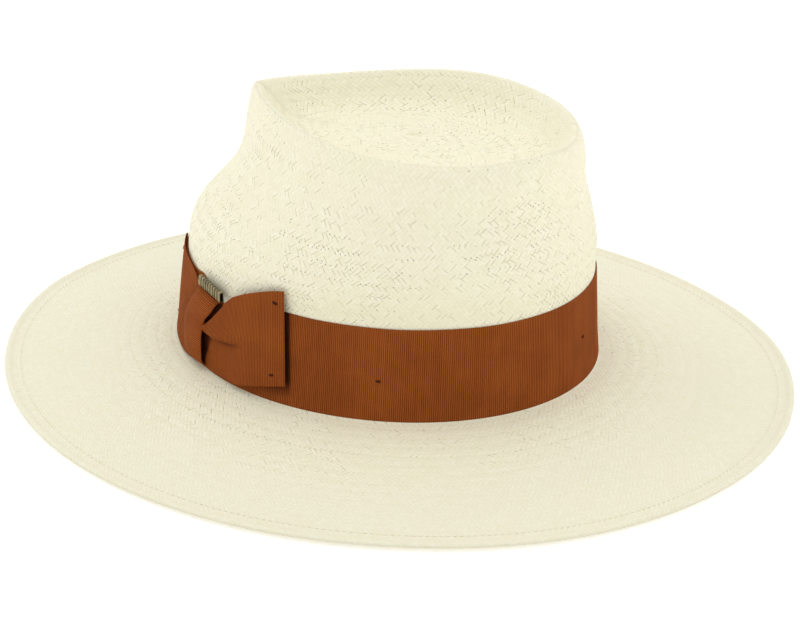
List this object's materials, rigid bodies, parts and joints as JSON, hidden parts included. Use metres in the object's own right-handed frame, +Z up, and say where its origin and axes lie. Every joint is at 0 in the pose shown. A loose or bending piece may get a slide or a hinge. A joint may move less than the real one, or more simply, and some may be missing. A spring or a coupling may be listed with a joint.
{
  "type": "panama hat",
  "caption": "Wide-brimmed woven straw hat with a teardrop crown, a brown ribbon band tied in a flat side bow, and a leather sweatband inside.",
  "frame": {"origin": "centre of the bounding box's bottom, on the flat underside of the folded brim edge", "axes": "+Z up through the crown, -Y towards the front of the hat, +X towards the wearer's left, where the bow is"},
  "size_m": [0.3498, 0.3928, 0.1385],
  "materials": {
    "straw": "woven natural straw, matte, faint sheen",
    "wire": "plain drawn wire",
    "pale_thread": "matte sewing thread",
    "ribbon": "ribbed grosgrain, soft sheen",
    "badge": "aged pewter tone, blank",
    "brown_thread": "matte sewing thread",
    "leather": "smooth, semi-matte",
    "reed": "smooth cord",
    "tape": "plain cotton tape",
    "label": "blank woven label"
  },
  "bodies": {
    "root": {"straw_body": "straw", "brim_wire": "wire", "hem_needle_thread": "pale_thread", "hem_bobbin_thread": "pale_thread", "hat_ribbon": "ribbon", "bow_ribbon": "ribbon", "bow_knot": "ribbon", "metal_badge": "badge", "badge_thread": "brown_thread", "ribbon_tack_left": "brown_thread", "ribbon_tack_back": "brown_thread", "ribbon_tack_right": "brown_thread", "ribbon_tack_front": "brown_thread", "bow_tack_rear_top": "brown_thread", "bow_tack_rear_low": "brown_thread", "bow_tack_front_top": "brown_thread", "bow_tack_front_low": "brown_thread", "sweatband": "leather", "sweatband_reed": "reed", "reed_tape": "tape", "sweatband_thread": "pale_thread", "back_seam_tape": "tape", "size_label": "label", "inner_bow": "ribbon", "inner_bow_knot": "ribbon"}
  },
  "joints": []
}
